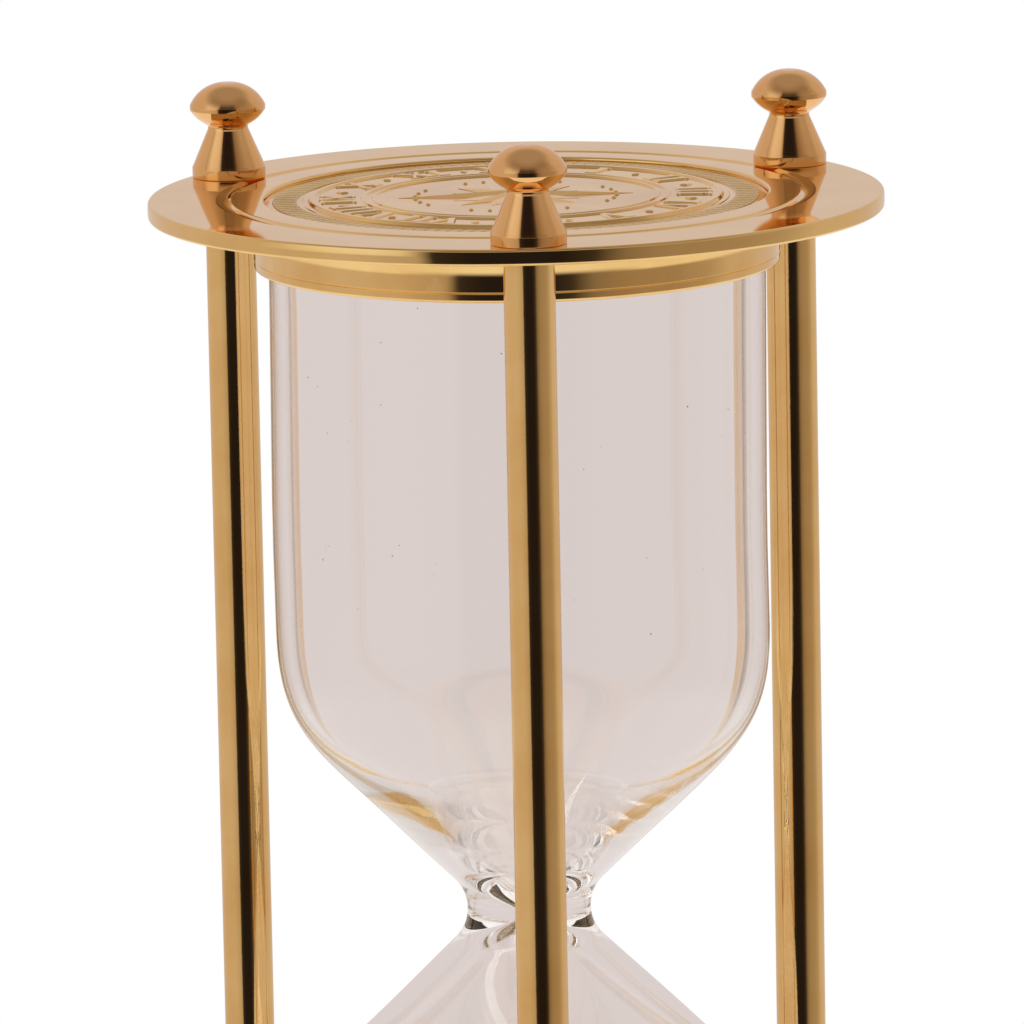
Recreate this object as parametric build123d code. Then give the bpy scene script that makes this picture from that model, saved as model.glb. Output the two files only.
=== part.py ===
from build123d import *
import os
from math import asin, atan2, cos, hypot, radians, sin, sqrt, tan

# A brass hourglass: two round plates, three rods and six finial nuts hold a one-piece glass.
# Millimetres. Origin at the centre of the base, on the tips of the lower finials; +Z up; front rod at -Y.
# The upper half's sub-parts are drawn in place; the lower half mirrors them in the neck's plane.

# Driving dimensions
PLATE_R = 44.5
PLATE_T = 2.0
FINIAL_H = 11.6
HALF_H = 88.2            # from a plate's outer face to the middle of the neck
ROD_R = 3.05
ROD_CIRCLE_R = 39.8
ROD_ANGLES = {"front": -90, "right": 30, "left": 150}

# Thread M4 x 0.7: each stud runs through the plate and seven turns into its finial
THREAD_PITCH = 0.7
THREAD_TURNS = 7
STUD_R = 1.95
TAPPED_R = 2.0
PLATE_HOLE_R = 2.15
STUD_LEAD = 0.4          # chamfer on the stud's end

# Plate: a rolled edge, a turned groove and a round recess for the medallion
PLATE_EDGE = 0.35
GROOVE_R, GROOVE_HALF_W, GROOVE_DEPTH = 35.3, 1.0, 0.3
RECESS_R, RECESS_DEPTH = 30.5, 1.0

# Medallion: a thin disc with a raised centre and raised rings on it
MEDALLION_R = 30.4
CHANNEL_T = 0.45         # the disc's thickness in its outer channel
CENTRE_R, CENTRE_T = 24.9, 0.7
RIM_IN_R, RIM_T = 24.3, 0.95
BEAD_RING = (26.5, 29.4, 0.62)                      # inner radius, outer radius, height
INNER_RINGS = ((18.1, 18.7, 0.9), (16.9, 17.4, 0.9))

# Collar: a spun cap ring with a flared foot and an inward flange, clamped under the plate
COLLAR_H = 6.4
COLLAR_R = 31.8
COVE_R, COVE_H = 3.0, 3.4              # hollow flare out to the foot; height of foot and flare
COLLAR_BAND_H = 1.7
COLLAR_GROOVE_H, COLLAR_GROOVE_DEPTH = 0.2, 0.2
COLLAR_LIP = 0.4                       # rounding of the lower lip
COLLAR_FLANGE_T, COLLAR_FLANGE_IN_R = 0.6, 22.0
GLASS_GAP = 0.1                        # between the glass and the collar's bore

# Cushion: a cork ring between the collar's flange and the glass
CUSHION_T, CUSHION_IN_R, CUSHION_OUT_R = 1.0, 22.5, 28.5

# Glass: a drawn tube with a shoulder arc, a cone and a neck arc, closed flat at both ends
TUBE_R = 30.06
GLASS_T = 1.9
SHOULDER_R, SHOULDER_Z = 16.6, 31.47                # arc radius; its centre's height from the neck
NECK_R, NECK_ARC_R = 7.54, 5.64
ORIFICE_R, THROAT_ARC_R = 0.9, 2.2
END_CORNER_R = 3.0
PIP_R, PIP_SPHERE_R = 2.2, 2.7   # the sealed filling pip on the upper end, a low dome

# Sand: a heap that fills most of the lower bulb's tube
SAND_GAP = 0.1
SAND_WALL_H = 27.0       # depth of the sand at the glass
SAND_SLOPE_DEG = 25.0    # slope of the heap's sides
SAND_PEAK_R = 4.0        # radius where the sides round over into the peak

# Derived heights
NECK_Z = FINIAL_H + HALF_H
OUTER_FACE_Z = NECK_Z + HALF_H
INNER_FACE_Z = OUTER_FACE_Z - PLATE_T
GLASS_END = HALF_H - PLATE_T - COLLAR_FLANGE_T - CUSHION_T   # from the neck to the glass's end
STUD_L = PLATE_T + THREAD_PITCH * THREAD_TURNS
NECK_PLANE = Plane.XY.offset(NECK_Z)

# Where a cylinder's own origin lies
ON_BASE = (Align.CENTER, Align.CENTER, Align.MIN)
BELOW_TOP = (Align.CENTER, Align.CENTER, Align.MAX)


def turned(*edges):
    """Solid of revolution about Z; the edges close a face in the XZ plane, x being the radius."""
    return revolve(make_face(Plane.XZ * (Curve() + list(edges))), Axis.Z)


def ring(inner_r, outer_r, z, height):
    """Plain ring standing on height z."""
    tube = Cylinder(outer_r, height, align=ON_BASE)
    bore = Cylinder(inner_r, height, align=ON_BASE)
    return Pos(0, 0, z) * (tube - bore)


def dome(rim_r, rim_z, sphere_r):
    """Arc from a rim up to the axis; its centre is on the axis. Returns the arc and its top's height."""
    centre_z = rim_z - sqrt(sphere_r**2 - rim_r**2)
    half = asin(rim_r / sphere_r) / 2
    middle = (sphere_r * sin(half), centre_z + sphere_r * cos(half))
    return ThreePointArc((rim_r, rim_z), middle, (0, centre_z + sphere_r)), centre_z + sphere_r


def rod_place(name, z):
    """Location on a rod's axis at height z."""
    angle = radians(ROD_ANGLES[name])
    return Pos(ROD_CIRCLE_R * cos(angle), ROD_CIRCLE_R * sin(angle), z)


def plate():
    """Round plate, outer face up: broken edges, round-bottomed groove, recess, three rod holes."""
    body = Cylinder(PLATE_R, PLATE_T, align=BELOW_TOP)
    body = fillet(body.edges().filter_by(GeomType.CIRCLE), PLATE_EDGE)
    recess = Cylinder(RECESS_R, RECESS_DEPTH, align=BELOW_TOP)
    left, right = GROOVE_R - GROOVE_HALF_W, GROOVE_R + GROOVE_HALF_W
    groove = turned(
        ThreePointArc((left, 0), (GROOVE_R, -GROOVE_DEPTH), (right, 0)),
        Line((right, 0), (left, 0)),
    )
    body = body - recess - groove
    for name in ROD_ANGLES:
        body -= rod_place(name, -PLATE_T / 2) * Cylinder(PLATE_HOLE_R, 2 * PLATE_T)
    return Pos(0, 0, OUTER_FACE_Z) * body


def medallion():
    """Disc in the plate's recess: outer channel, bead ring, raised centre with a rim and two rings."""
    disc = ring(CENTRE_R - 1, MEDALLION_R, 0, CHANNEL_T)
    disc += Cylinder(CENTRE_R, CENTRE_T, align=ON_BASE)
    disc += ring(RIM_IN_R, CENTRE_R, 0, RIM_T)
    for inner_r, outer_r, height in (BEAD_RING, *INNER_RINGS):
        disc += ring(inner_r, outer_r, 0, height)
    return Pos(0, 0, OUTER_FACE_Z - RECESS_DEPTH) * disc


def collar():
    """Spun ring below the plate: flared foot, hollow flare, upright band, fine groove and rounded lip."""
    bore_r = TUBE_R + GLASS_GAP
    foot_r = COLLAR_R + COVE_R
    groove_r = COLLAR_R - COLLAR_GROOVE_DEPTH
    band_z = -COVE_H - COLLAR_BAND_H
    lip_z = band_z - COLLAR_GROOVE_H
    slant = 1 - cos(radians(45))
    cove_end, cove_start = (foot_r, COVE_R - COVE_H), (COLLAR_R, -COVE_H)
    lip_start, lip_end = (COLLAR_R, -COLLAR_H + COLLAR_LIP), (COLLAR_R - COLLAR_LIP, -COLLAR_H)
    return Pos(0, 0, INNER_FACE_Z) * turned(
        Polyline(
            lip_end,
            (bore_r, -COLLAR_H),
            (bore_r, -COLLAR_FLANGE_T),
            (COLLAR_FLANGE_IN_R, -COLLAR_FLANGE_T),
            (COLLAR_FLANGE_IN_R, 0),
            (foot_r, 0),
            cove_end,
        ),
        ThreePointArc(cove_end, (COLLAR_R + COVE_R * slant, -COVE_H + COVE_R * (1 - slant)), cove_start),
        Polyline(
            cove_start,
            (COLLAR_R, band_z),
            (groove_r, band_z),
            (groove_r, lip_z),
            (COLLAR_R, lip_z),
            lip_start,
        ),
        ThreePointArc(
            lip_start,
            (COLLAR_R - COLLAR_LIP * slant, -COLLAR_H + COLLAR_LIP * slant),
            lip_end,
        ),
    )


def cushion():
    """Cork ring between the collar's flange and the glass's flat end."""
    return ring(CUSHION_IN_R, CUSHION_OUT_R, INNER_FACE_Z - COLLAR_FLANGE_T - CUSHION_T, CUSHION_T)


def rod(name):
    """Rod from plate to plate with a turned-down threaded stud at each end; the thread is left plain."""
    shank = Cylinder(ROD_R, 2 * (HALF_H - PLATE_T))
    stud = Cylinder(STUD_R, STUD_L, align=ON_BASE)
    stud = chamfer(stud.edges().sort_by(Axis.Z)[-1], STUD_LEAD)
    stud = Pos(0, 0, HALF_H - PLATE_T) * stud
    return rod_place(name, NECK_Z) * (shank + stud + mirror(stud, about=Plane.XY))


def finial(name):
    """Turned nut on the upper plate: foot, cone, waist, round head, flat tip, tapped blind hole."""
    foot, foot_top, cone_base = (4.5, 0), (4.5, 1.3), (4.4, 1.5)
    waist, waist_top, head_base = (2.45, 6.0), (2.45, 6.3), (2.85, 6.65)
    under_rim, rim, rim_top = (4.52, 8.2), (4.62, 8.35), (4.62, 8.9)
    tip, top = (1.2, FINIAL_H), (0, FINIAL_H)
    body = turned(
        Polyline(top, (0, 0), foot, foot_top, cone_base, waist, waist_top, head_base),
        ThreePointArc(head_base, (3.88, 7.4), under_rim),
        Polyline(under_rim, rim, rim_top),
        ThreePointArc(rim_top, (3.65, 10.3), tip),
        Line(tip, top),
    )
    hole_depth = STUD_L - PLATE_T + 0.3
    body -= Cylinder(TAPPED_R, hole_depth, align=ON_BASE)
    return rod_place(name, OUTER_FACE_Z) * body


def bulb(tube_r, shoulder_r, neck_r, neck_arc_r, end_z, corner_r):
    """Solid double bulb: tube, shoulder arc, cone and neck arc, each tangent to the next."""
    shoulder_x, neck_x = tube_r - shoulder_r, neck_r + neck_arc_r
    across, along = shoulder_x - neck_x, SHOULDER_Z
    cone = atan2(across, along) + asin((shoulder_r + neck_arc_r) / hypot(across, along))
    neck_top = (neck_x - neck_arc_r * cos(cone), neck_arc_r * sin(cone))
    neck_bottom = (neck_top[0], -neck_top[1])
    edges = [ThreePointArc(neck_bottom, (neck_r, 0), neck_top), Line((0, -end_z), (0, end_z))]
    for side in (1, -1):
        def on_shoulder(angle):
            return (shoulder_x + shoulder_r * cos(angle), side * (SHOULDER_Z - shoulder_r * sin(angle)))

        def on_corner(angle):
            x, z = tube_r - corner_r * (1 - cos(angle)), end_z - corner_r * (1 - sin(angle))
            return (x, side * z)

        edges += [
            Line((neck_top[0], side * neck_top[1]), on_shoulder(cone)),
            ThreePointArc(on_shoulder(cone), on_shoulder(cone / 2), on_shoulder(0)),
            Line(on_shoulder(0), on_corner(0)),
            ThreePointArc(on_corner(0), on_corner(radians(45)), on_corner(radians(90))),
            Line(on_corner(radians(90)), (0, side * end_z)),
        ]
    return turned(*edges)


def cavity():
    """The room inside the glass, centred on the neck."""
    room_r, room_end = TUBE_R - GLASS_T, GLASS_END - GLASS_T
    return bulb(room_r, SHOULDER_R - GLASS_T, ORIFICE_R, THROAT_ARC_R, room_end, END_CORNER_R)


def glass():
    """One-piece glass, sealed at both ends, with the small pip left by filling on its upper end."""
    outside = bulb(TUBE_R, SHOULDER_R, NECK_R, NECK_ARC_R, GLASS_END, END_CORNER_R)
    pip_top, pip_h = dome(PIP_R, 0, PIP_SPHERE_R)
    root = GLASS_T / 2
    pip = turned(pip_top, Polyline((0, pip_h), (0, -root), (PIP_R, -root), (PIP_R, 0)))
    return Pos(0, 0, NECK_Z) * (outside + Pos(0, 0, GLASS_END) * pip - cavity())


def sand():
    """Heap of sand in the lower bulb: it fits the glass below and ends in a low, soft-peaked cone."""
    floor_z = NECK_Z - GLASS_END + GLASS_T + SAND_GAP
    wall_r = TUBE_R - GLASS_T - SAND_GAP
    wall_z = floor_z + SAND_WALL_H
    slope = radians(SAND_SLOPE_DEG)
    peak_z = wall_z + (wall_r - SAND_PEAK_R) * tan(slope)
    peak, top_z = dome(SAND_PEAK_R, peak_z, SAND_PEAK_R / sin(slope))
    slant = END_CORNER_R * (1 - cos(radians(45)))
    corner_in = (wall_r - END_CORNER_R, floor_z)
    corner_out = (wall_r, floor_z + END_CORNER_R)
    return turned(
        Polyline((0, top_z), (0, floor_z), corner_in),
        ThreePointArc(corner_in, (wall_r - slant, floor_z + slant), corner_out),
        Polyline(corner_out, (wall_r, wall_z), (SAND_PEAK_R, peak_z)),
        peak,
    )


def write(node, solid):
    """One STEP file per node."""
    export_step(solid, f"parts/{node}.step")


def main():
    os.makedirs("parts", exist_ok=True)
    for part, upper_node, lower_node in (
        (plate(), "top_plate", "bottom_plate"),
        (medallion(), "top_medallion", "bottom_medallion"),
        (collar(), "upper_collar", "lower_collar"),
        (cushion(), "upper_cushion", "lower_cushion"),
    ):
        write(upper_node, part)
        write(lower_node, mirror(part, about=NECK_PLANE))
    for name in ROD_ANGLES:
        write(f"rod_{name}", rod(name))
        nut = finial(name)
        write(f"upper_finial_{name}", nut)
        write(f"lower_finial_{name}", mirror(nut, about=NECK_PLANE))
    write("glass_bulb", glass())
    write("sand", sand())


main()
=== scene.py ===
"""The looks of the brass hourglass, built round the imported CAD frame.

Outlines are (radius, height) pairs in millimetres about each piece's own axis; MM turns them to metres.
"""
from math import asin, atan2, ceil, cos, exp, hypot, pi, radians, sin, sqrt, tan
from random import Random

import bmesh
import bpy
from mathutils import Matrix, Vector, noise


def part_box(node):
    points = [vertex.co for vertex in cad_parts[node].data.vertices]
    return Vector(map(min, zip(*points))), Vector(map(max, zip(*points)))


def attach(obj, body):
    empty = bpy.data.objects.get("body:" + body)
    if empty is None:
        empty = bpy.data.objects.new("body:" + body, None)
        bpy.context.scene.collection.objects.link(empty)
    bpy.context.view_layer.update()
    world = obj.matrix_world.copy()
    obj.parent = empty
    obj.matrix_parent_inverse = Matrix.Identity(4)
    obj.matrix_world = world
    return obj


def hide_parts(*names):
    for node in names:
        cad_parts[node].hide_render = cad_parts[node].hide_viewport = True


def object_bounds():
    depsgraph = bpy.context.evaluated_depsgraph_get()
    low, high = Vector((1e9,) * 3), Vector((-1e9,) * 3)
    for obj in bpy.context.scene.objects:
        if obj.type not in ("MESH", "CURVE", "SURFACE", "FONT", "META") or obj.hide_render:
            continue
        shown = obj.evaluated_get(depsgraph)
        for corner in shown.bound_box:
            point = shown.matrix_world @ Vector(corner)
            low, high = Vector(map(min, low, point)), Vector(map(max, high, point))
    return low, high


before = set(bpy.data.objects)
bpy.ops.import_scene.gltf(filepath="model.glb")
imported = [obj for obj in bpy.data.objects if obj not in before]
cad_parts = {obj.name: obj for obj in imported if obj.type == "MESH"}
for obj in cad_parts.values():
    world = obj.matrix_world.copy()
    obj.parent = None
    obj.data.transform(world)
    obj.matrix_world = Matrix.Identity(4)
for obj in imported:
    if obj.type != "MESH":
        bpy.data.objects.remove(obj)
cad_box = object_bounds()

MM = 0.001
TINY = 1e-6
SHARP_ANGLE = radians(32)      # edges that turn more than this are shaded sharp
RIM_STEPS = 256                # facets round the plates and collars
GLASS_STEPS = 180              # facets round the glass
ROD_STEPS = 96                 # facets round the rods and finials
SIDES = ("front", "right", "left")

# Where things are, from the frame
FACE_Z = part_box("top_plate")[1].z
NECK_Z = (FACE_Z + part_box("bottom_plate")[0].z) / 2
PLATE_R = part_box("top_plate")[1].x / MM
PLATE_T = (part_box("top_plate")[1].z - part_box("top_plate")[0].z) / MM
COLLAR_H = (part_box("upper_collar")[1].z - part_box("upper_collar")[0].z) / MM
COVE_FOOT_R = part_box("upper_collar")[1].x / MM
FINIAL_H = (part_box("upper_finial_front")[1].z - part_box("upper_finial_front")[0].z) / MM
ROD_R = (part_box("rod_front")[1].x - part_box("rod_front")[0].x) / 2 / MM
ROD_HALF = (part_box("rod_front")[1].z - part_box("rod_front")[0].z) / 2 / MM
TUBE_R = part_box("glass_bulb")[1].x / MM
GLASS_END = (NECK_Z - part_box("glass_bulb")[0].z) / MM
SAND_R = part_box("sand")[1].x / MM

# Turned details of the brass
EDGE_ROLL, EDGE_CROWN = 0.35, 0.05
GROOVE_R, GROOVE_HALF_W, GROOVE_DEPTH = 35.3, 1.0, 0.3
RECESS_R, RECESS_DEPTH = 30.5, 1.0
HOLE_R = 2.15
THREAD_PITCH, THREAD_DEPTH, STUD_R, TAPPED_R = 0.7, 0.36, 1.95, 2.0
STUD_L = 6.9
COVE_R, COVE_FOOT = 3.0, 0.4   # the collar's hollow flare, and the upright edge above it
COLLAR_BAND_Z = -5.1           # where the collar's upright band ends in its fine groove
COLLAR_GROOVE_H, COLLAR_GROOVE_DEPTH = 0.2, 0.12
COLLAR_FLANGE_T, COLLAR_FLANGE_IN_R = 0.6, 22.0
COLLAR_BORE_GAP = 0.1

# Embossed disc
DISC_R = 30.4
CHANNEL_T, CENTRE_T, RIM_T = 0.45, 0.7, 0.95
CENTRE_R, RIM_IN_R = 24.9, 24.3
BEAD_IN_R, BEAD_OUT_R, BEAD_H = 26.5, 29.4, 0.62
BEAD_COUNT = 120
INNER_RINGS = ((18.1, 18.7, 0.9), (16.9, 17.4, 0.9))
RELIEF_T = 0.88                # top of the numerals, above the disc's underside
NUMERAL_FOOT_R, NUMERAL_H = 19.4, 4.4
FOOT_T = CENTRE_T - 0.02       # the embossed shapes' feet, sunk a little into the disc
DOT_COUNT, DOT_RING_R, DOT_R = 32, 12.2, 0.34
MILL_DEPTH, MILL_FADE = 0.2, 0.5
# Star: radii of its tips in turn, radius of its valleys, first tip's direction, edge's and peak's rise
UNDER_STAR = ((8.2,) * 8, 4.4, pi / 8, 0.03, 0.55)
UPPER_STAR = ((14.2, 9.6) * 4, 3.6, pi / 2, 0.04, 0.75)

# Glass
GLASS_T = 1.9
SHOULDER_R, SHOULDER_Z = 16.6, 31.47
NECK_R, NECK_ARC_R = 7.54, 5.64
ORIFICE_R, THROAT_ARC_R = 0.9, 2.2
END_CORNER_R = 3.0
PIP_R, PIP_SPHERE_R = 2.2, 2.7

# Sand
SAND_WALL_H, SAND_SLOPE, SAND_PEAK_R = 27.0, radians(25), 4.0
STRAY_GRAINS = 46


# ---- outlines ----

def arc(centre, radius, start, end, steps=8):
    """Points of an arc from start to end, in degrees."""
    angles = [radians(start + (end - start) * i / steps) for i in range(steps + 1)]
    return [(centre[0] + radius * cos(a), centre[1] + radius * sin(a)) for a in angles]


def rounded(corners, steps=4):
    """Open outline through (radius, height, rounding) corners; each rounding is an arc."""
    points = [corners[0][:2]]
    for before, corner, after in zip(corners, corners[1:], corners[2:]):
        here = Vector(corner[:2])
        back, ahead = (Vector(before[:2]) - here).normalized(), (Vector(after[:2]) - here).normalized()
        if corner[2] < TINY:
            points.append(tuple(here))
            continue
        half = back.angle(ahead) / 2
        centre = here + (back + ahead).normalized() * corner[2] / sin(half)
        first = here + back * corner[2] / tan(half) - centre
        last = here + ahead * corner[2] / tan(half) - centre
        start, turn = atan2(first.y, first.x), first.angle_signed(last)
        for i in range(steps + 1):
            angle = start - turn * i / steps
            points.append((centre.x + corner[2] * cos(angle), centre.y + corner[2] * sin(angle)))
    return points + [corners[-1][:2]]


def spread(start, end, count):
    """Evenly spaced points from start to end, both included."""
    return [
        (start[0] + (end[0] - start[0]) * i / count, start[1] + (end[1] - start[1]) * i / count)
        for i in range(count + 1)
    ]


# ---- meshes ----

def turn(bm, outline, steps, carve=None, closed=False, inward=False):
    """Turns an outline about Z. carve(radius, height, angle) may move each point to a new pair."""
    rings = []
    for radius, height in outline:
        if radius < TINY:
            rings.append([bm.verts.new((0, 0, height * MM))] * steps)
            continue
        ring = []
        for i in range(steps):
            angle = 2 * pi * i / steps
            r, z = carve(radius, height, angle) if carve else (radius, height)
            ring.append(bm.verts.new((r * cos(angle) * MM, r * sin(angle) * MM, z * MM)))
        rings.append(ring)
    faces = []
    for low, high in zip(rings, rings[1:] + (rings[:1] if closed else [])):
        for i in range(steps):
            j = (i + 1) % steps
            corners = list(dict.fromkeys((low[i], low[j], high[j], high[i])))
            faces.append(bm.faces.new(corners))
    bmesh.ops.recalc_face_normals(bm, faces=faces)
    if inward:
        bmesh.ops.reverse_faces(bm, faces=faces)


def emboss(bm, outline, top, foot, slope=0.16):
    """Raised shape on the disc with sloped walls; the outline is in mm, as (x, y)."""
    low = [bm.verts.new((x * MM, y * MM, foot * MM)) for x, y in outline]
    high = [bm.verts.new((x * MM, y * MM, top * MM)) for x, y in outline]
    faces = [bm.faces.new(low), bm.faces.new(high)]
    for i in range(len(outline)):
        faces.append(bm.faces.new((low[i - 1], low[i], high[i], high[i - 1])))
    bmesh.ops.recalc_face_normals(bm, faces=faces)
    bmesh.ops.bevel(
        bm, geom=list(faces[1].edges), offset=slope * MM, segments=2, profile=0.35, affect="EDGES"
    )


def shade(bm):
    """Smooth faces, with the edges that turn sharply kept sharp."""
    for face in bm.faces:
        face.smooth = True
    for edge in bm.edges:
        edge.smooth = not edge.is_manifold or edge.calc_face_angle(0) < SHARP_ANGLE


def mesh_from(name, bm):
    """The finished mesh; bm is used up."""
    shade(bm)
    mesh = bpy.data.meshes.new(name)
    bm.to_mesh(mesh)
    bm.free()
    return mesh


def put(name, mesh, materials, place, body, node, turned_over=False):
    """Object of that mesh in place of a CAD node, riding on its body. Turned over about Y if asked."""
    piece = bpy.data.objects.new(name, mesh)
    bpy.context.scene.collection.objects.link(piece)
    if not mesh.materials:
        for material in materials:
            mesh.materials.append(material)
    piece.rotation_euler = (0, pi if turned_over else 0, 0)
    piece.location = place
    piece.modifiers.new("flat_normals", "WEIGHTED_NORMAL").keep_sharp = True
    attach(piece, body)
    if node:
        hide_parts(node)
    return piece


def cut(mesh, cutters):
    """The mesh with the cutters' meshes taken out of it."""
    body = bpy.data.objects.new("uncut", mesh)
    bpy.context.scene.collection.objects.link(body)
    made = [body]
    for cutter in cutters:
        tool = bpy.data.objects.new("cutter", cutter)
        bpy.context.scene.collection.objects.link(tool)
        boolean = body.modifiers.new("cut", "BOOLEAN")
        boolean.operation, boolean.solver, boolean.object = "DIFFERENCE", "EXACT", tool
        made.append(tool)
    bpy.context.view_layer.update()
    bm = bmesh.new()
    bm.from_object(body, bpy.context.evaluated_depsgraph_get())
    for one in made:
        bpy.data.objects.remove(one)
    return mesh_from(mesh.name, bm)


# ---- shapes; each upper piece is drawn with its plate's outer face at height 0 ----

def thread(radius, height, angle, first, last):
    """Radius of a right-hand thread between two heights; it runs out at both ends."""
    fade = min(1, max(0, min(height - first, last - height) / THREAD_PITCH))
    phase = (height / THREAD_PITCH - angle / (2 * pi)) % 1
    return radius - THREAD_DEPTH * fade * min(1, max(0, 1.6 * abs(2 * phase - 1) - 0.3))


def plate_mesh():
    """Round plate: rolled edges, a round-bottomed groove, a recess, and holes for the rods' studs."""
    left, right = GROOVE_R - GROOVE_HALF_W, GROOVE_R + GROOVE_HALF_W
    groove_arc_r = (GROOVE_HALF_W**2 + GROOVE_DEPTH**2) / (2 * GROOVE_DEPTH)
    half = asin(GROOVE_HALF_W / groove_arc_r) * 180 / pi
    top = rounded(
        [(0, -RECESS_DEPTH, 0), (RECESS_R, -RECESS_DEPTH, 0.05), (RECESS_R, 0, 0.35), (left, 0, 0)]
    )
    groove = arc((GROOVE_R, groove_arc_r - GROOVE_DEPTH), groove_arc_r, -90 - half, -90 + half, 12)
    edge = rounded(
        [
            (right, 0, 0),
            (PLATE_R - EDGE_CROWN, 0, EDGE_ROLL),
            (PLATE_R, -PLATE_T / 2, 4.0),
            (PLATE_R - EDGE_CROWN, -PLATE_T, EDGE_ROLL),
            (0, -PLATE_T, 0),
        ],
        steps=8,
    )
    bm = bmesh.new()
    turn(bm, top[:-1] + groove + edge[1:], RIM_STEPS)
    plate = mesh_from("plate", bm)
    cutters = []
    for side in SIDES:
        place = centre("rod_" + side) / MM
        bm = bmesh.new()
        depth = 2 * PLATE_T
        turn(bm, [(0, -depth), (HOLE_R, -depth), (HOLE_R, depth), (0, depth)], ROD_STEPS)
        bmesh.ops.translate(bm, verts=bm.verts, vec=Vector((place.x, place.y, 0)) * MM)
        cutters.append(mesh_from("hole", bm))
    return cut(plate, cutters)


def glyph(letter):
    """Outline of a Roman numeral's letter, one unit high, and its width."""
    if letter == "I":
        half = [(0.19, 0), (0.19, 0.09), (0.12, 0.13), (0.12, 0.87), (0.19, 0.91), (0.19, 1)]
        return half + [(-x, y) for x, y in reversed(half)], 0.47
    if letter == "V":
        return [
            (-0.48, 1), (-0.48, 0.91), (-0.40, 0.88), (-0.08, 0), (0.09, 0), (0.37, 0.88), (0.46, 0.91),
            (0.46, 1), (0.12, 1), (0.12, 0.91), (0.22, 0.88), (0.06, 0.34), (-0.13, 0.88), (-0.06, 0.91),
            (-0.06, 1),
        ], 0.98
    return [
        (-0.47, 1), (-0.47, 0.91), (-0.38, 0.88), (-0.12, 0.48), (-0.37, 0.12), (-0.45, 0.09), (-0.45, 0),
        (-0.12, 0), (-0.12, 0.09), (-0.20, 0.12), (-0.02, 0.36), (0.12, 0.12), (0.05, 0.09), (0.05, 0),
        (0.47, 0), (0.47, 0.09), (0.39, 0.12), (0.12, 0.53), (0.35, 0.88), (0.43, 0.91), (0.43, 1),
        (0.11, 1), (0.11, 0.91), (0.18, 0.88), (0.02, 0.65), (-0.11, 0.88), (-0.03, 0.91), (-0.03, 1),
    ], 0.98


def emboss_numerals(bm):
    """Roman numerals I to XII round the disc, feet inwards, with a small lozenge between neighbours."""
    numerals = ("XII", "I", "II", "III", "IV", "V", "VI", "VII", "VIII", "IX", "X", "XI")
    middle_r = NUMERAL_FOOT_R + NUMERAL_H / 2
    for hour, numeral in enumerate(numerals):
        letters = [glyph(letter) for letter in numeral]
        along = -sum(width for _, width in letters) / 2
        for outline, width in letters:
            angle = pi / 2 - hour * pi / 6 - (along + width / 2) * NUMERAL_H / middle_r
            along += width
            out, across = Vector((cos(angle), sin(angle))), Vector((sin(angle), -cos(angle)))
            foot = out * NUMERAL_FOOT_R
            corners = [foot + (out * y + across * x) * NUMERAL_H for x, y in outline]
            emboss(bm, corners, RELIEF_T, FOOT_T)
        angle = pi / 2 - (hour + 0.5) * pi / 6
        lozenge = [
            Vector((cos(angle), sin(angle))) * (middle_r + 0.8 * cos(turned))
            + Vector((sin(angle), -cos(angle))) * 0.5 * sin(turned)
            for turned in (0, pi / 2, pi, 3 * pi / 2)
        ]
        emboss(bm, lozenge, RELIEF_T, FOOT_T)


def emboss_star(bm, tips, valley_r, turned, edge_rise, peak_rise):
    """Faceted compass star: a ridge runs down the middle of each point."""
    rim = []
    for k, tip_r in enumerate(tips):
        for radius, along in ((tip_r, k), (valley_r, k + 0.5)):
            angle = turned + 2 * pi * along / len(tips)
            rim.append((radius * cos(angle) * MM, radius * sin(angle) * MM))
    low = [bm.verts.new((x, y, FOOT_T * MM)) for x, y in rim]
    edge = [bm.verts.new((x, y, (CENTRE_T + edge_rise) * MM)) for x, y in rim]
    peak = bm.verts.new((0, 0, (CENTRE_T + peak_rise) * MM))
    faces = [bm.faces.new(low)]
    for i in range(len(rim)):
        faces.append(bm.faces.new((low[i - 1], low[i], edge[i], edge[i - 1])))
        faces.append(bm.faces.new((edge[i - 1], edge[i], peak)))
    bmesh.ops.recalc_face_normals(bm, faces=faces)


def emboss_dots(bm):
    """Ring of small round studs, with gaps between the star's long points."""
    for k in range(DOT_COUNT):
        if k % 8 in (3, 4):
            continue
        angle = 2 * pi * (k + 0.5) / DOT_COUNT
        middle = Vector((cos(angle), sin(angle))) * DOT_RING_R
        dot = [middle + Vector((cos(pi * i / 4), sin(pi * i / 4))) * DOT_R for i in range(8)]
        emboss(bm, dot, CENTRE_T + 0.2, FOOT_T, 0.19)


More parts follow.
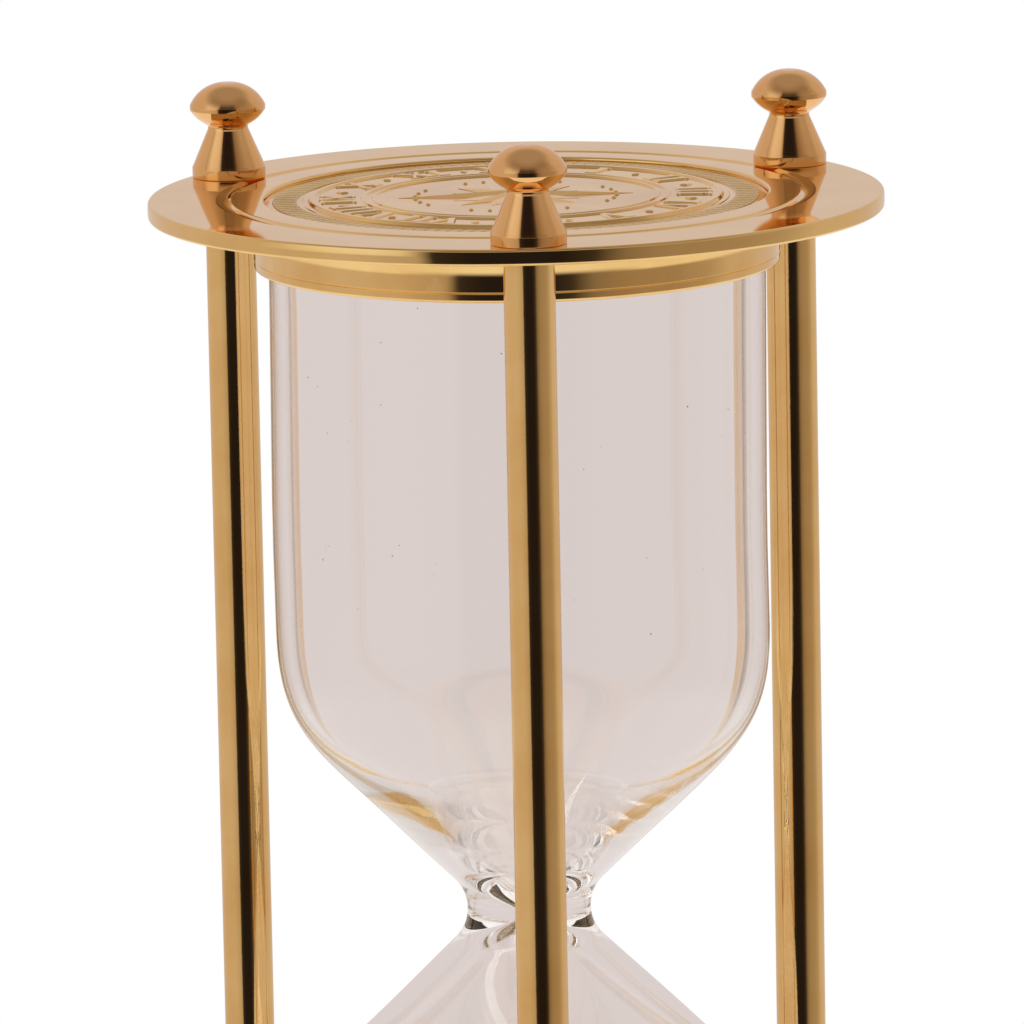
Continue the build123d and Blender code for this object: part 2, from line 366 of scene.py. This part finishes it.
def medallion_mesh():
    """Struck disc: milled bead ring in the outer channel, raised centre with numerals and a star."""
    def mill(radius, height, angle):
        if BEAD_IN_R < radius < BEAD_OUT_R and height > CHANNEL_T + TINY:
            fade = min(1, (radius - BEAD_IN_R) / MILL_FADE, (BEAD_OUT_R - radius) / MILL_FADE)
            return radius, height - MILL_DEPTH * fade * (0.5 - 0.5 * cos(BEAD_COUNT * angle)) ** 2
        return radius, height

    corners = [(0, 0, 0), (DISC_R, 0, 0), (DISC_R, CHANNEL_T, 0.1)]
    corners += [(BEAD_OUT_R, CHANNEL_T, 0.05), (BEAD_OUT_R, BEAD_H, 0.05)]
    corners += [(radius, BEAD_H, 0.01) for radius in (28.9, 28.3, 27.6, 27.0)]
    corners += [(BEAD_IN_R, BEAD_H, 0.05), (BEAD_IN_R, CHANNEL_T, 0.05)]
    corners += [(CENTRE_R + 0.95, CHANNEL_T, 0.02), (CENTRE_R + 0.85, CHANNEL_T + 0.08, 0.02)]
    corners += [(CENTRE_R + 0.25, CHANNEL_T + 0.08, 0.1), (CENTRE_R, RIM_T, 0.12)]
    corners += [(RIM_IN_R + 0.1, RIM_T, 0.1), (RIM_IN_R - 0.1, CENTRE_T, 0.1)]
    for inner_r, outer_r, height in INNER_RINGS:
        corners += [(outer_r + 0.08, CENTRE_T, 0.05), (outer_r - 0.08, height, 0.07)]
        corners += [(inner_r + 0.08, height, 0.07), (inner_r - 0.08, CENTRE_T, 0.05)]
    corners += [(0, CENTRE_T, 0)]
    bm = bmesh.new()
    turn(bm, rounded(corners, steps=3), 8 * BEAD_COUNT, carve=mill)
    for face in bm.faces:
        middle = face.calc_center_median() / MM
        face.material_index = BEAD_IN_R - 0.1 < hypot(middle.x, middle.y) < BEAD_OUT_R + 0.1
    emboss_numerals(bm)
    emboss_star(bm, *UNDER_STAR)
    emboss_star(bm, *UPPER_STAR)
    emboss_dots(bm)
    return mesh_from("medallion", bm)


def collar_mesh():
    """Spun cap ring: flared foot, hollow flare, upright band, fine groove, lip, inward flange."""
    band_r = COVE_FOOT_R - COVE_R
    cove_end = -COVE_FOOT - COVE_R
    outside = [(COLLAR_FLANGE_IN_R, -COLLAR_FLANGE_T), (COLLAR_FLANGE_IN_R, 0)]
    outside += [(COVE_FOOT_R - 0.05, 0), (COVE_FOOT_R, -0.05)]
    outside += arc((COVE_FOOT_R, cove_end), COVE_R, 90, 180, 14)
    outside += rounded(
        [
            (band_r, cove_end, 0),
            (band_r, COLLAR_BAND_Z, 0.07),
            (band_r - COLLAR_GROOVE_DEPTH, COLLAR_BAND_Z - COLLAR_GROOVE_H / 2, 0.05),
            (band_r, COLLAR_BAND_Z - COLLAR_GROOVE_H, 0.07),
            (band_r, -COLLAR_H, 0.42),
            (TUBE_R + COLLAR_BORE_GAP, -COLLAR_H, 0.25),
            (TUBE_R + COLLAR_BORE_GAP, -COLLAR_FLANGE_T, 0.1),
            (COLLAR_FLANGE_IN_R, -COLLAR_FLANGE_T, 0),
        ]
    )[1:-1]
    bm = bmesh.new()
    turn(bm, outside, RIM_STEPS, closed=True)
    return mesh_from("collar", bm)


def rod_mesh():
    """Drawn rod with a threaded stud at each end; its middle is at the origin."""
    shank = ROD_HALF - STUD_L
    rows = ceil(STUD_L / THREAD_PITCH * 10)
    half = rounded([(ROD_R, 0, 0), (ROD_R, shank, 0.12), (STUD_R, shank, 0)])
    half += spread((STUD_R, shank + 0.02), (STUD_R, ROD_HALF - 0.4), rows)
    half += [(STUD_R - 0.4, ROD_HALF), (0, ROD_HALF)]

    def carve(radius, height, angle):
        if abs(height) > shank and radius == STUD_R:
            ends = (shank, ROD_HALF) if height > 0 else (-ROD_HALF, -shank)
            return thread(radius, height, angle, *ends), height
        return radius, height

    bm = bmesh.new()
    turn(bm, [(r, -z) for r, z in reversed(half[1:])] + half, ROD_STEPS, carve=carve)
    return mesh_from("rod", bm)


def finial_mesh():
    """Turned nut: foot, cone, waist, round head with a flat tip, and a tapped blind hole."""
    depth = STUD_L - PLATE_T + 0.3
    bore = [(0, depth + 0.5), (1.2, depth + 0.2)]
    bore += spread((TAPPED_R, depth), (TAPPED_R, 0.35), ceil(depth / THREAD_PITCH * 10)) + [(2.3, 0)]
    body = rounded(
        [
            (2.3, 0, 0),
            (4.5, 0, 0.12),
            (4.5, 1.25, 0.08),
            (4.36, 1.55, 0.3),
            (2.45, 6.0, 0.8),
            (2.45, 6.35, 0.12),
            (2.85, 6.65, 0.1),
        ],
        steps=6,
    )[1:]
    head = bend((2.85, 6.65), (3.88, 7.4), (4.52, 8.2), 10)[1:]
    rim = rounded([(4.52, 8.2, 0), (4.62, 8.35, 0.04), (4.62, 8.9, 0.04), (4.55, 9.02, 0)])[1:-1]
    crown = bend((4.6, 8.94), (3.65, 10.3), (1.2, FINIAL_H - 0.02), 16)
    tip = [(0.9, FINIAL_H), (0, FINIAL_H)]

    def carve(radius, height, angle):
        return (thread(radius, height, angle, 0, depth) if radius == TAPPED_R else radius), height

    bm = bmesh.new()
    turn(bm, bore + body + head + rim + crown + tip, ROD_STEPS, carve=carve)
    return mesh_from("finial", bm)


def bend(start, middle, end, steps):
    """Points of the arc through three points."""
    (ax, ay), (bx, by), (cx, cy) = start, middle, end
    across = 2 * (ax * (by - cy) + bx * (cy - ay) + cx * (ay - by))
    a2, b2, c2 = ax**2 + ay**2, bx**2 + by**2, cx**2 + cy**2
    centre = Vector(
        (
            (a2 * (by - cy) + b2 * (cy - ay) + c2 * (ay - by)) / across,
            (a2 * (cx - bx) + b2 * (ax - cx) + c2 * (bx - ax)) / across,
        )
    )
    first, last = Vector(start) - centre, Vector(end) - centre
    begin, swing = atan2(first.y, first.x), -first.angle_signed(last)
    return [
        (centre.x + first.length * cos(begin + swing * i / steps),
         centre.y + first.length * sin(begin + swing * i / steps))
        for i in range(steps + 1)
    ]


def bulb_half(tube_r, shoulder_r, neck_r, neck_arc_r, end_z):
    """Upper half of a double bulb's outline, from the neck to the tube's rounded end."""
    shoulder_x, neck_x = tube_r - shoulder_r, neck_r + neck_arc_r
    across, along = shoulder_x - neck_x, SHOULDER_Z
    cone = atan2(across, along) + asin((shoulder_r + neck_arc_r) / hypot(across, along))
    cone_deg = cone * 180 / pi
    outline = arc((neck_x, 0), neck_arc_r, 180, 180 - cone_deg, 24)
    shoulder = arc((shoulder_x, SHOULDER_Z), shoulder_r, -cone_deg, 0, 32)
    outline += spread(outline[-1], shoulder[0], 12)[1:-1] + shoulder
    outline += spread((tube_r, SHOULDER_Z), (tube_r, end_z - END_CORNER_R), 16)[1:-1]
    corner = arc((tube_r - END_CORNER_R, end_z - END_CORNER_R), END_CORNER_R, 0, 90, 10)
    return relax(outline) + corner


def relax(outline, softer=5, foot_z=10.0, step=1.0):
    """The outline with its bends above foot_z eased: each point is the mean over softer steps each way."""
    foot = [point for point in outline if point[1] < foot_z]
    even, left = [foot[-1]], 0.0
    for start, end in zip(outline[len(foot) - 1:], outline[len(foot):]):
        reach = hypot(end[0] - start[0], end[1] - start[1])
        while left + step <= reach:
            left += step
            part = left / reach
            even.append((start[0] + (end[0] - start[0]) * part, start[1] + (end[1] - start[1]) * part))
        left -= reach
    eased = []
    for i in range(1, len(even)):
        span = min(softer, i, len(even) - 1 - i)
        near = even[i - span:i + span + 1]
        eased.append((sum(p[0] for p in near) / len(near), sum(p[1] for p in near) / len(near)))
    return foot + eased


def sway(radius, height, angle):
    """The blown walls wander a little: to +x near both cones, and to -x along the upper tube."""
    drift = 0.3 * exp(-(((height - 16) / 7) ** 2)) + 0.2 * exp(-(((height + 13) / 7) ** 2))
    drift -= 0.25 * min(1, max(0, (height - 25) / 20)) * min(1, max(0, (GLASS_END - 8 - height) / 25))
    return radius + min(1, radius / 4) * drift * cos(angle), height


def glass_mesh():
    """Blown glass, sealed at both ends: the outside with its filling pip, and the room inside."""
    outer = bulb_half(TUBE_R, SHOULDER_R, NECK_R, NECK_ARC_R, GLASS_END)
    inner = bulb_half(
        TUBE_R - GLASS_T, SHOULDER_R - GLASS_T, ORIFICE_R, THROAT_ARC_R, GLASS_END - GLASS_T
    )
    rise = sqrt(PIP_SPHERE_R**2 - PIP_R**2)
    start = atan2(rise, PIP_R) * 180 / pi
    pip = arc((0, GLASS_END - rise), PIP_SPHERE_R, start, 90, 8)[:-1]
    pip += [(0, GLASS_END - rise + PIP_SPHERE_R)]
    bm = bmesh.new()
    outline = [(0, -GLASS_END)] + [(r, -z) for r, z in reversed(outer[1:])] + outer + pip
    turn(bm, outline, GLASS_STEPS, carve=sway)
    floor = GLASS_END - GLASS_T
    turn(
        bm,
        [(0, -floor)] + [(r, -z) for r, z in reversed(inner[1:])] + inner + [(0, floor)],
        GLASS_STEPS,
        carve=sway,
        inward=True,
    )
    return mesh_from("glass", bm)


def sand_mesh():
    """Heap of sand with a grainy top; its floor is at height 0."""
    corner = END_CORNER_R
    peak_z = SAND_WALL_H + (SAND_R - SAND_PEAK_R) * tan(SAND_SLOPE)
    sphere_r = SAND_PEAK_R / sin(SAND_SLOPE)
    side = [(0, 0)] + spread((2, 0), (SAND_R - corner, 0), 12)
    side += arc((SAND_R - corner, corner), corner, -90, 0, 6)[1:]
    side += spread((SAND_R, corner), (SAND_R, SAND_WALL_H), 30)[1:]
    slope = spread((SAND_R, SAND_WALL_H), (SAND_PEAK_R, peak_z), 110)[1:]
    centre_z = peak_z - sqrt(sphere_r**2 - SAND_PEAK_R**2)
    peak = arc((0, centre_z), sphere_r, 65, 89, 14)[1:] + [(0, centre_z + sphere_r)]

    def grain(radius, height, angle):
        if height < SAND_WALL_H - 1.5:
            return radius, height
        spot = Vector((radius * cos(angle), radius * sin(angle), height))
        fall = min(1, (height - SAND_WALL_H + 1.5) / 1.5)
        swell = 0.35 * noise.noise(spot * 0.16)
        swell += 0.12 * noise.noise(spot * 0.9)
        swell += 0.09 * noise.noise(spot * 3.1)
        return radius, height + fall * (swell - 0.45)

    bm = bmesh.new()
    turn(bm, side + slope + peak, 360, carve=grain)
    return mesh_from("sand", bm)


def grains_mesh():
    """A few stray grains that cling to the inside of the upper bulb; the neck is at height 0."""
    rng = Random(11)
    bm = bmesh.new()
    for _ in range(STRAY_GRAINS):
        size = rng.choice((0.05, 0.06, 0.08, 0.11)) * MM
        angle, height = rng.uniform(0, 2 * pi), rng.uniform(SHOULDER_Z + 2, GLASS_END - 14)
        reach, height = sway(TUBE_R - GLASS_T - 0.05, height, angle)
        place = Vector((reach * cos(angle), reach * sin(angle), height)) * MM
        stretch = Matrix.Diagonal((1, rng.uniform(0.7, 1.3), rng.uniform(0.8, 1.6), 1))
        matrix = Matrix.Translation(place) @ stretch
        bmesh.ops.create_icosphere(bm, subdivisions=1, radius=size, matrix=matrix)
    return mesh_from("stray_grains", bm)


def centre(node):
    """Middle of a CAD node's box."""
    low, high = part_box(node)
    return (low + high) / 2


# ---- materials ----

class Nodes:
    """Adds nodes to one tree and wires them."""

    def __init__(self, tree):
        self.tree = tree
        tree.nodes.clear()

    def feed(self, socket, value):
        if isinstance(value, bpy.types.NodeSocket):
            self.tree.links.new(value, socket)
        else:
            socket.default_value = value

    def add(self, kind, inputs=None, **settings):
        node = self.tree.nodes.new("ShaderNode" + kind)
        for name, value in settings.items():
            setattr(node, name, value)
        for key, value in (inputs or {}).items():
            self.feed(node.inputs[key], value)
        return node

    def math(self, operation, first, second=0.0):
        return self.add("Math", {0: first, 1: second}, operation=operation).outputs[0]

    def noise(self, vector, scale, detail=3.0, roughness=0.55):
        inputs = {"Vector": vector, "Scale": scale, "Detail": detail, "Roughness": roughness}
        return self.add("TexNoise", inputs).outputs["Fac"]

    def fit(self, value, low, high, to_low=0.0, to_high=1.0, smooth=False):
        inputs = {"Value": value, 1: low, 2: high, 3: to_low, 4: to_high}
        kind = "SMOOTHSTEP" if smooth else "LINEAR"
        return self.add("MapRange", inputs, interpolation_type=kind).outputs[0]

    def mix(self, factor, first, second, blend="MIX"):
        node = self.add("Mix", {0: factor}, data_type="RGBA", blend_type=blend)
        self.feed(node.inputs[6], first)
        self.feed(node.inputs[7], second)
        return node.outputs[2]

    def ramp(self, value, stops, smooth=False):
        node = self.add("ValToRGB", {0: value})
        node.color_ramp.interpolation = "EASE" if smooth else "LINEAR"
        elements = node.color_ramp.elements
        while len(elements) < len(stops):
            elements.new(0.5)
        for element, (position, colour) in zip(elements, stops):
            element.position = position
            element.color = (*colour, 1)
        return node.outputs[0]

    def bump(self, height, distance, normal=None):
        inputs = {"Height": height, "Distance": distance, "Strength": 1.0}
        if normal:
            inputs["Normal"] = normal
        return self.add("Bump", inputs).outputs[0]


def new_material(name):
    """New material and the helper for its node tree."""
    material = bpy.data.materials.new(name)
    material.use_nodes = True
    return material, Nodes(material.node_tree)


def rgb(*values):
    """Opaque colour."""
    return (*values, 1.0)


def brass(name, colour, stain, roughness, turned_depth, peel_depth):
    """Polished brass: lathe marks round the axis, a faint uneven peel, stains and small pits."""
    material, nodes = new_material(name)
    place = nodes.add("TexCoord").outputs["Object"]
    split = nodes.add("SeparateXYZ", {0: place})
    flat = nodes.add("CombineXYZ", {0: split.outputs[0], 1: split.outputs[1]}).outputs[0]
    radius = nodes.add("VectorMath", {0: flat}, operation="LENGTH").outputs["Value"]
    profile = nodes.add("CombineXYZ", {0: radius, 1: split.outputs[2]}).outputs[0]
    marks = nodes.noise(profile, 3200.0, 4.0, 0.7)
    peel = nodes.noise(place, 900.0, 2.0)
    clouds = nodes.noise(place, 90.0, 4.0)
    cells = nodes.add("TexVoronoi", {"Vector": place, "Scale": 420.0}, feature="F1")
    pits = nodes.fit(cells.outputs["Distance"], 0.035, 0.075, 1.0, 0.0)
    rare = nodes.fit(nodes.noise(place, 55.0, 1.0), 0.58, 0.64)
    pits = nodes.math("MULTIPLY", pits, rare)
    edge = nodes.fit(nodes.add("NewGeometry").outputs["Pointiness"], 0.52, 0.6)
    tone = nodes.mix(nodes.fit(clouds, 0.4, 0.75), rgb(*colour), rgb(*stain))
    tone = nodes.mix(nodes.math("MULTIPLY", edge, 0.35), tone, rgb(*[min(1, c * 1.12) for c in colour]))
    tone = nodes.mix(pits, tone, rgb(*[c * 0.35 for c in stain]))
    rough = nodes.fit(clouds, 0.3, 0.75, roughness * 0.7, roughness * 1.5)
    rough = nodes.math("ADD", rough, nodes.fit(marks, 0.35, 0.7, 0.0, roughness * 0.5))
    rough = nodes.math("ADD", rough, nodes.math("MULTIPLY", pits, 0.3))
    normal = nodes.bump(peel, peel_depth)
    normal = nodes.bump(marks, turned_depth, normal)
    shader = nodes.add(
        "BsdfPrincipled", {"Base Color": tone, "Metallic": 1.0, "Roughness": rough, "Normal": normal}
    )
    nodes.add("OutputMaterial", {0: shader.outputs[0]})
    return material


def clear_glass():
    """Clear glass with the faint waves of a drawn tube."""
    material, nodes = new_material("clear_glass")
    place = nodes.add("TexCoord").outputs["Object"]
    wave = nodes.noise(place, 45.0, 1.0)
    shader = nodes.add(
        "BsdfPrincipled",
        {
            "Base Color": rgb(1.0, 0.995, 0.99),
            "Transmission Weight": 1.0,
            "Roughness": 0.0,
            "IOR": 1.5,
            "Normal": nodes.bump(wave, 1.5e-5),
        },
    )
    nodes.add("OutputMaterial", {0: shader.outputs[0]})
    return material


def sand_grains():
    """Pale quartz sand: each grain its own tone, with dark and amber ones among them."""
    material, nodes = new_material("sand")
    place = nodes.add("TexCoord").outputs["Object"]
    cells = nodes.add("TexVoronoi", {"Vector": place, "Scale": 3200.0}, feature="F1")
    pick = nodes.add("SeparateXYZ", {0: cells.outputs["Color"]}).outputs[0]
    tone = nodes.ramp(
        pick,
        [
            (0.0, (0.42, 0.28, 0.16)),
            (0.05, (0.80, 0.65, 0.46)),
            (0.35, (0.89, 0.78, 0.60)),
            (0.75, (0.94, 0.86, 0.72)),
            (1.0, (0.97, 0.94, 0.87)),
        ],
    )
    drift = nodes.noise(place, 130.0, 3.0)
    tone = nodes.mix(nodes.fit(drift, 0.35, 0.7, 0.0, 0.25), tone, rgb(0.80, 0.63, 0.43))
    shader = nodes.add(
        "BsdfPrincipled",
        {
            "Base Color": tone,
            "Roughness": nodes.fit(pick, 0.0, 1.0, 0.55, 0.9),
            "Normal": nodes.bump(cells.outputs["Distance"], -1.2e-4),
        },
    )
    nodes.add("OutputMaterial", {0: shader.outputs[0]})
    return material


def cork():
    """Pressed cork: pale granules with dark seams and pores."""
    material, nodes = new_material("cork")
    place = nodes.add("TexCoord").outputs["Object"]
    granules = nodes.add("TexVoronoi", {"Vector": place, "Scale": 900.0}, feature="F1")
    pick = nodes.add("SeparateXYZ", {0: granules.outputs["Color"]}).outputs[0]
    browns = [(0.0, (0.30, 0.17, 0.08)), (0.3, (0.50, 0.33, 0.18)), (1.0, (0.66, 0.47, 0.28))]
    tone = nodes.ramp(pick, browns)
    pores = nodes.noise(place, 2600.0, 3.0)
    tone = nodes.mix(nodes.fit(pores, 0.6, 0.72), tone, rgb(0.16, 0.09, 0.05))
    shader = nodes.add(
        "BsdfPrincipled",
        {
            "Base Color": tone,
            "Roughness": nodes.fit(pores, 0.3, 0.7, 0.75, 0.95),
            "Normal": nodes.bump(nodes.math("ADD", granules.outputs["Distance"], pores), 1e-4),
        },
    )
    nodes.add("OutputMaterial", {0: shader.outputs[0]})
    return material


# ---- the studio ----

def room():
    """A pale tent: walls by compass direction, a dark gap at the front, a bright table, a dim ceiling.

    The gap has a paler band just above the horizon. Mirrored light sees all of it. Light that comes
    through the glass sees an even pale backdrop, and the camera sees plain white behind the object.
    """
    backdrop, table_white, dim = rgb(0.71, 0.63, 0.61), rgb(0.97, 0.95, 0.92), rgb(0.43, 0.39, 0.36)
    walls = (
        (-180, (0.71, 0.63, 0.61)),
        (-125, (0.69, 0.61, 0.58)),
        (-60, (0.66, 0.59, 0.55)),
        (-45, (0.60, 0.53, 0.49)),
        (-33, (0.52, 0.46, 0.42)),
        (-28, (0.04, 0.032, 0.03)),
        (-16, (0.02, 0.016, 0.018)),
        (12, (0.02, 0.016, 0.018)),
        (22, (0.05, 0.04, 0.035)),
        (32, (0.27, 0.22, 0.18)),
        (42, (0.36, 0.29, 0.24)),
        (52, (0.39, 0.32, 0.26)),
        (75, (0.42, 0.35, 0.29)),
        (90, (0.50, 0.43, 0.37)),
        (105, (0.65, 0.58, 0.54)),
        (180, (0.71, 0.63, 0.61)),
    )
    world = bpy.data.worlds.new("studio")
    bpy.context.scene.world = world
    world.use_nodes = True
    nodes = Nodes(world.node_tree)
    split = nodes.add("SeparateXYZ", {0: nodes.add("TexCoord").outputs["Generated"]})
    x, y, z = split.outputs
    azimuth = nodes.math("ARCTAN2", x, nodes.math("MULTIPLY", y, -1.0))
    azimuth = nodes.math("ADD", nodes.math("DIVIDE", azimuth, 2 * pi), 0.5)
    tent = nodes.ramp(azimuth, [(angle / 360 + 0.5, colour) for angle, colour in walls])
    lift = nodes.fit(z, sin(radians(2)), sin(radians(8)), smooth=True)
    lift = nodes.math("MULTIPLY", lift, nodes.fit(z, sin(radians(31)), sin(radians(35)), 1.0, 0.0))
    in_front = nodes.math("LESS_THAN", y, 0.0)
    lift = nodes.math("MULTIPLY", lift, in_front)
    tent = nodes.mix(lift, tent, rgb(0.52, 0.46, 0.42))
    glow = ((-90, 0), (-68, 1), (-46, 1), (-38, 0.75), (-33, 0))
    slant = nodes.math("DIVIDE", nodes.math("ABSOLUTE", x), nodes.math("ABSOLUTE", y))
    window = nodes.ramp(azimuth, [(angle / 360 + 0.5, (lit, lit, lit)) for angle, lit in glow])
    window = nodes.math("MULTIPLY", window, nodes.fit(z, -0.14, -0.03, smooth=True))
    window = nodes.math("MULTIPLY", window, nodes.fit(z, 0.5, 0.75, 1.0, 0.0))
    tent = nodes.mix(window, tent, rgb(0.95, 0.96, 0.97))
    dusk = [(0.7, (0.27, 0.21, 0.16)), (0.85, (0.34, 0.29, 0.25)), (0.97, dim[:3])]
    above = nodes.mix(nodes.fit(y, -0.2, 0.2), nodes.ramp(z, dusk), dim)
    ceiling = nodes.fit(z, sin(radians(38)), sin(radians(62)), smooth=True)
    tent = nodes.mix(ceiling, tent, above)
    in_gap = nodes.math("MULTIPLY", in_front, nodes.fit(slant, 0.9, 1.6, 1.0, 0.0))
    near = nodes.fit(z, sin(radians(-15)), sin(radians(-42)), smooth=True)
    beside = nodes.fit(z, sin(radians(-14)), sin(radians(-25)), smooth=True)
    table = nodes.add("Mix", {0: in_gap, 2: beside, 3: near}).outputs[0]
    tent = nodes.mix(table, tent, table_white)
    path = nodes.add("LightPath")
    once = nodes.math("LESS_THAN", path.outputs["Glossy Depth"], 1.5)
    through = nodes.math("MULTIPLY", path.outputs["Is Transmission Ray"], once)
    tent = nodes.mix(through, tent, backdrop)
    colour = nodes.mix(path.outputs["Is Camera Ray"], tent, rgb(1.0, 1.0, 1.0))
    nodes.add("OutputWorld", {0: nodes.add("Background", {0: colour}).outputs[0]})


def floor():
    """Round white table: it takes the soft contact shadow and fades into the white behind.

    The metal and the glass see the studio's own bright table in its place.
    """
    radius, fade_from, fade_to = 0.44, 0.14, 0.32
    bm = bmesh.new()
    bmesh.ops.create_circle(bm, cap_ends=True, segments=96, radius=radius)
    disc = bpy.data.objects.new("floor", mesh_from("floor", bm))
    bpy.context.scene.collection.objects.link(disc)
    material, nodes = new_material("floor")
    place = nodes.add("TexCoord").outputs["Object"]
    distance = nodes.add("VectorMath", {0: place}, operation="LENGTH").outputs["Value"]
    paper = nodes.add("BsdfDiffuse", {0: rgb(0.91, 0.94, 0.95)})
    plain = nodes.add("Emission", {0: rgb(1, 1, 1), 1: 1.0})
    far = nodes.fit(distance, fade_from, fade_to, smooth=True)
    table = nodes.add("MixShader", {0: far, 1: paper.outputs[0], 2: plain.outputs[0]})
    nodes.add("OutputMaterial", {0: table.outputs[0]})
    disc.data.materials.append(material)
    disc.location.z = cad_box[0].z
    disc.visible_transmission = disc.visible_glossy = False


def softbox():
    """Large overhead light; the metal doesn't mirror it."""
    light = bpy.data.lights.new("softbox", "AREA")
    light.shape, light.size = "DISK", 0.7
    light.energy = 6.0
    lamp = bpy.data.objects.new("softbox", light)
    bpy.context.scene.collection.objects.link(lamp)
    lamp.location = (-0.25, -0.2, 0.95)
    lamp.rotation_euler = (Vector((0, 0, 0.05)) - lamp.location).to_track_quat("-Z", "Y").to_euler()
    lamp.visible_glossy = False


def camera():
    """Long-lens view, a little above the top plate; angles in degrees, distance in metres."""
    distance, elevation, turned = 1.1125, 8.433, -1.987
    pitch, yaw, roll, lens = 10.415, -0.062, 1.081, 323.7
    eye = Vector((0, -cos(radians(elevation)), sin(radians(elevation)))) * distance
    aim = Matrix.Rotation(radians(-yaw), 4, "Z") @ Matrix.Rotation(radians(90 - pitch), 4, "X")
    roll_back = Matrix.Rotation(radians(-roll), 4, "Z")
    data = bpy.data.cameras.new("camera")
    data.lens, data.sensor_width = lens, 36.0
    data.clip_start, data.clip_end = 0.05, 20.0
    eye_object = bpy.data.objects.new("camera", data)
    bpy.context.scene.collection.objects.link(eye_object)
    swing = Matrix.Rotation(radians(turned), 4, "Z")
    eye_object.matrix_world = (
        Matrix.Translation((0, 0, FACE_Z)) @ swing @ Matrix.Translation(eye) @ aim @ roll_back
    )
    bpy.context.scene.camera = eye_object


def light_paths():
    """Enough bounces for light that runs inside the glass wall, down to the neck, to get out."""
    cycles = bpy.context.scene.cycles
    cycles.max_bounces = 64
    cycles.glossy_bounces = 48
    cycles.transmission_bounces = 48
    bpy.context.scene.view_settings.view_transform = "Standard"


# ---- assembly ----

PALE = (0.88, 0.60, 0.25)
ROSE = (0.87, 0.51, 0.215)
finishes = {
    "polished_brass": [brass("polished_brass", PALE, (0.82, 0.53, 0.20), 0.035, 6e-8, 1.2e-7)],
    "stamped_brass": [
        brass("stamped_brass", PALE, (0.74, 0.45, 0.17), 0.07, 1e-7, 5e-7),
        brass("satin_brass", (0.70, 0.50, 0.21), (0.58, 0.39, 0.15), 0.2, 2e-7, 5e-7),
    ],
    "collar_brass": [brass("collar_brass", PALE, (0.80, 0.49, 0.17), 0.06, 2.5e-7, 5e-7)],
    "rod_brass": [brass("rod_brass", PALE, (0.80, 0.49, 0.17), 0.035, 1.5e-7, 6e-6)],
    "finial_brass": [brass("finial_brass", ROSE, (0.80, 0.43, 0.16), 0.05, 7e-7, 7e-7)],
    "clear_glass": [clear_glass()],
    "sand": [sand_grains()],
    "cork": [cork()],
}


def build():
    """Puts every piece in its place in the frame; the lower half's pieces are turned over."""
    plate, disc, ring = plate_mesh(), medallion_mesh(), collar_mesh()
    rod, nut = rod_mesh(), finial_mesh()
    for half, end, over in (("upper", "top", False), ("lower", "bottom", True)):
        side = -1 if over else 1
        face = Vector((0, 0, NECK_Z + side * (FACE_Z - NECK_Z)))
        bed = face - Vector((0, 0, side * RECESS_DEPTH * MM))
        under = face - Vector((0, 0, side * PLATE_T * MM))
        parts = (
            (f"turned_{end}_plate", plate, "polished_brass", face, f"{end}_plate"),
            (f"struck_{end}_medallion", disc, "stamped_brass", bed, f"{end}_medallion"),
            (f"spun_{half}_collar", ring, "collar_brass", under, f"{half}_collar"),
        )
        for name, mesh, slot, place, node in parts:
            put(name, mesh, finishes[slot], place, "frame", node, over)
        for where in SIDES:
            at = centre(f"rod_{where}")
            place = Vector((at.x, at.y, face.z))
            node, body, slot = f"{half}_finial_{where}", f"{half}_nut_{where}", "finial_brass"
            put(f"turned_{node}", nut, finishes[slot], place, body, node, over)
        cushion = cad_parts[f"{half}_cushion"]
        cushion.data.materials.clear()
        cushion.data.materials.append(*finishes["cork"])
    for where in SIDES:
        node = f"rod_{where}"
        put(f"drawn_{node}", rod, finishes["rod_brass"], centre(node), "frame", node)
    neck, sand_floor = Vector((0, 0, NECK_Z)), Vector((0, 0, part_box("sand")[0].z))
    clear, grainy = finishes["clear_glass"], finishes["sand"]
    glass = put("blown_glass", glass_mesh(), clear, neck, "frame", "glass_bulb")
    glass.visible_shadow = False  # lamp light reaches the sand through it
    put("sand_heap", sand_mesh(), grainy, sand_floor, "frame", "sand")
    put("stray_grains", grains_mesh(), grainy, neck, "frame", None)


camera()
light_paths()
room()
floor()
softbox()
build()
